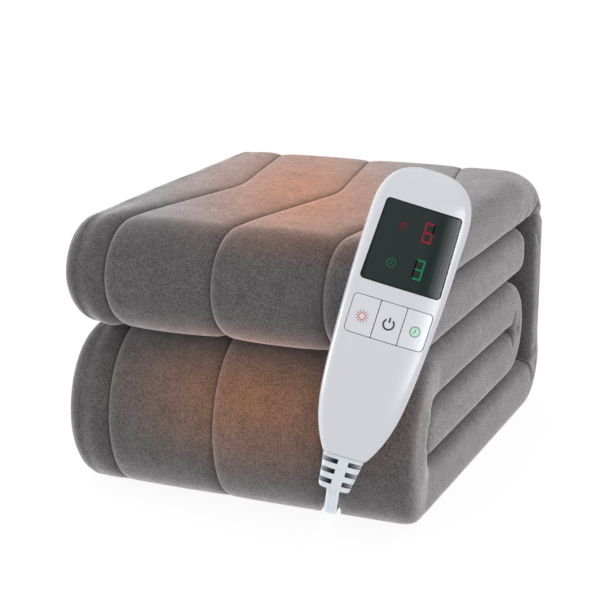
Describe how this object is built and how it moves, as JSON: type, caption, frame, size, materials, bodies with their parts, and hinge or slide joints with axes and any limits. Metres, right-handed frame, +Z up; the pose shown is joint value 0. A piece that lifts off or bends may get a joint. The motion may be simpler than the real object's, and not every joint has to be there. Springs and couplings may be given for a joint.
{
  "type": "folded electric heated blanket with hand control",
  "caption": "Quilted fleece heating pad folded into a thick rounded stack, with a slim hand control leaning on its front corner and a flat cable coiled behind.",
  "frame": {"origin": "on the pack's flat underside, at the middle of the folded pack's footprint", "axes": "+Z up, -Y towards the front with the two rolls, +X towards the side that shows the layers"},
  "size_m": [0.2813, 0.4913, 0.2317],
  "materials": {
    "fleece": "grey brushed fleece, speckled and matt",
    "white_shell": "cool white glossy moulding",
    "dark_window": "near-black glossy window",
    "white_key": "cool white satin key",
    "white_rubber": "cool white flexible moulding, satin"
  },
  "bodies": {
    "root": {"blanket": "fleece", "control_front": "white_shell", "control_back": "white_shell", "display_window": "dark_window", "strain_relief": "white_rubber", "cable_run": "white_rubber", "cable_coil": "white_rubber", "cable_connector": "white_rubber"},
    "heat_key": {"key_heat": "white_key"},
    "power_key": {"key_power": "white_key"},
    "timer_key": {"key_timer": "white_key"}
  },
  "joints": [
    {"name": "heat_press", "type": "slide", "parent": "root", "child": "heat_key", "axis": [-0.4341, 0.89, -0.1392], "range_m": [0, 0.0006], "stiffness_N_per_m": 1500},
    {"name": "power_press", "type": "slide", "parent": "root", "child": "power_key", "axis": [-0.4341, 0.89, -0.1392], "range_m": [0, 0.0006], "stiffness_N_per_m": 1500},
    {"name": "timer_press", "type": "slide", "parent": "root", "child": "timer_key", "axis": [-0.4341, 0.89, -0.1392], "range_m": [0, 0.0006], "stiffness_N_per_m": 1500}
  ]
}
